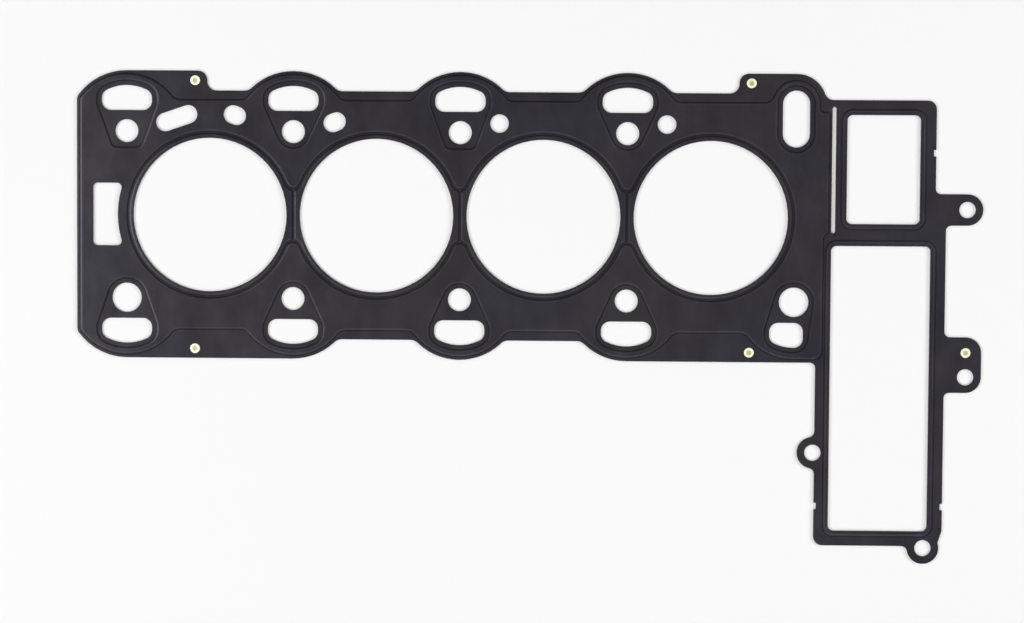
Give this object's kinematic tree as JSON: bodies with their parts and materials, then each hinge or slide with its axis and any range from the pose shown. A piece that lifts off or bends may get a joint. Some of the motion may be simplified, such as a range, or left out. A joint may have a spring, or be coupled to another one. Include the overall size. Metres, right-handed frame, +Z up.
{
  "type": "cylinder head gasket",
  "caption": "Flat layered-steel cylinder head gasket: black-coated embossed sheets, a row of cylinder bores, bolt, oil and coolant holes, and a windowed timing-case end, held by rivets.",
  "frame": {"origin": "on the axis of the bore farthest from the timing case, on the face that lies on the engine block", "axes": "+X along the row of bores towards the timing case, +Y across the row to the side of the coolant slot, +Z up through the layers to the cylinder head"},
  "size_m": [0.5043, 0.2722, 0.0015],
  "materials": {
    "coated_steel": "semi-gloss black elastomer coating on spring steel",
    "plain_steel": "plain cold-rolled steel",
    "rivet_brass": "pale brass-plated eyelet"
  },
  "bodies": {
    "root": {"upper_bead_sheet": "coated_steel", "lower_bead_sheet": "coated_steel", "spacer": "plain_steel", "stopper_ring_1": "plain_steel", "stopper_ring_2": "plain_steel", "stopper_ring_3": "plain_steel", "stopper_ring_4": "plain_steel", "rivet_1": "rivet_brass", "rivet_2": "rivet_brass", "rivet_3": "rivet_brass", "rivet_4": "rivet_brass", "rivet_5": "rivet_brass"}
  },
  "joints": []
}
